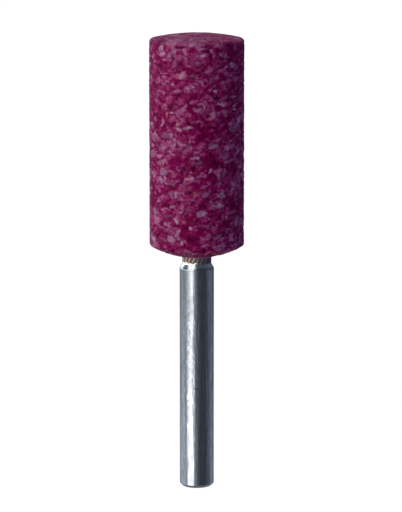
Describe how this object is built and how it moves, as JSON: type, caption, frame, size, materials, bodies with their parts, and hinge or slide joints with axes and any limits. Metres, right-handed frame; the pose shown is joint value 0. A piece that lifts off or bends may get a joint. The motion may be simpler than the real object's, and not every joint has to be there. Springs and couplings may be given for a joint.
{
  "type": "mounted point",
  "caption": "Cylindrical pink abrasive head with convex ends, cemented on a turned steel shank, for grinding in a collet or chuck.",
  "frame": {"origin": "centre of the flat end of the shank", "axes": "+Z along the axis from the shank's end towards the abrasive head, +X and +Y across it"},
  "size_m": [0.0164, 0.0164, 0.08],
  "materials": {
    "abrasive": "rough vitrified pink aluminium oxide grain",
    "steel": "bright ground",
    "cement": "matt resin cement"
  },
  "bodies": {
    "root": {"abrasive_head": "abrasive", "shank": "steel", "bond_cement": "cement"}
  },
  "joints": []
}
